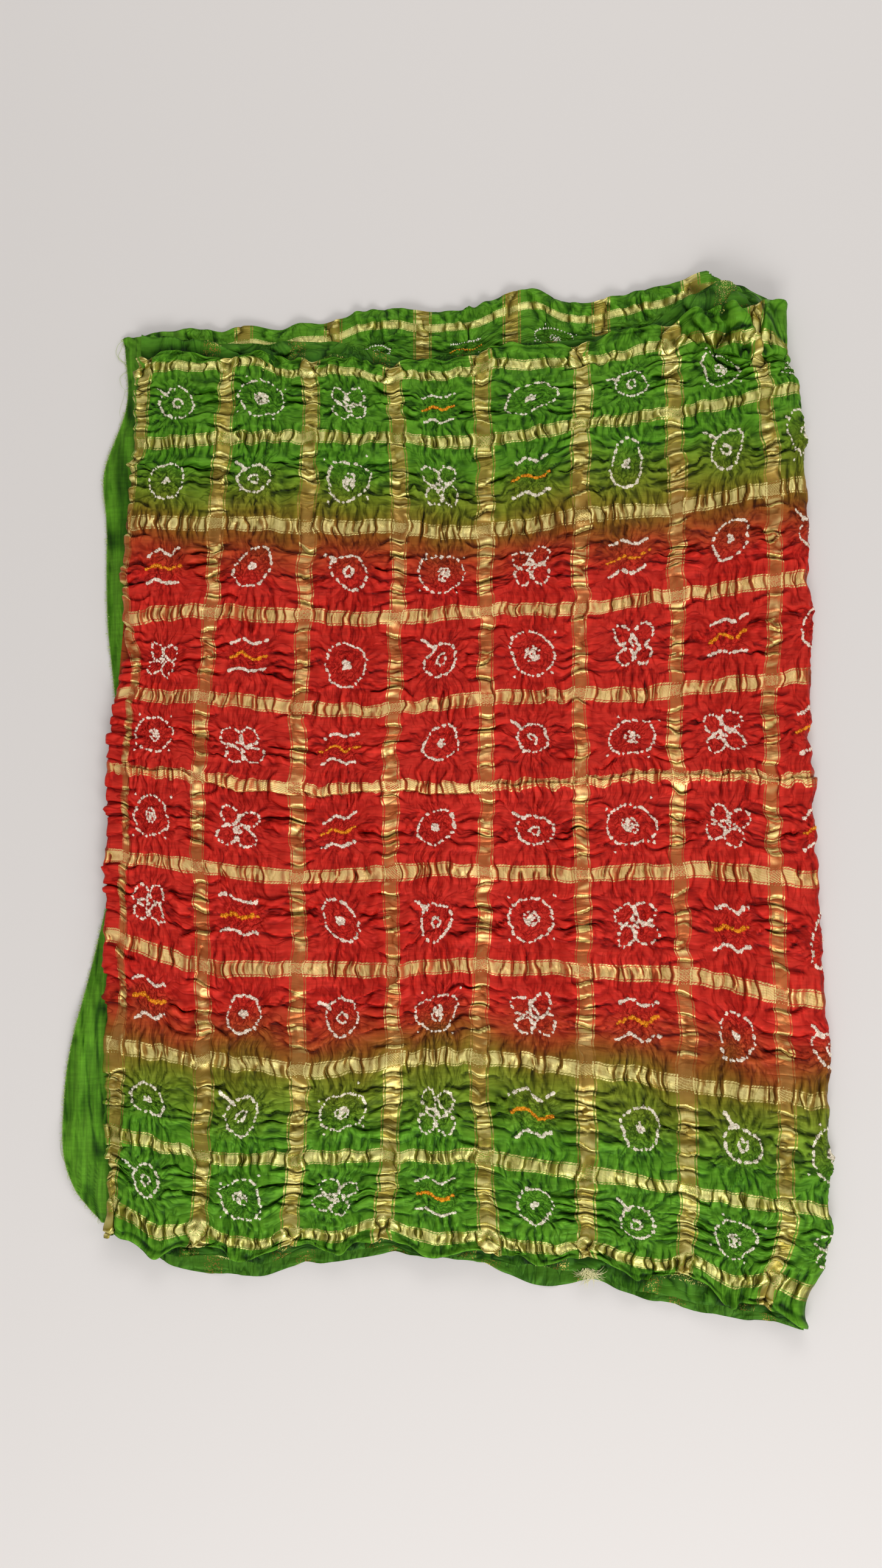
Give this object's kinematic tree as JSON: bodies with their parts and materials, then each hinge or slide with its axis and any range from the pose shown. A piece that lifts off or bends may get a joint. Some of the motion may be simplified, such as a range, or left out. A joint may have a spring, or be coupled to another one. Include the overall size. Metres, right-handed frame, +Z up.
{
  "type": "folded bandhani dupatta cloth",
  "caption": "Long thin silk cloth with woven checks and tie-dyed knots, folded in four and lying flat, its frayed ends showing at one side.",
  "frame": {"origin": "on the surface the cloth lies on, under the middle of its bounding box", "axes": "+X from the frayed ends to the outer fold, +Y from the near hem to the far hem, +Z up off the surface"},
  "size_m": [0.6654, 0.9403, 0.043],
  "materials": {
    "silk": "soft satin with woven gold bands"
  },
  "bodies": {
    "root": {"cloth": "silk"}
  },
  "joints": []
}
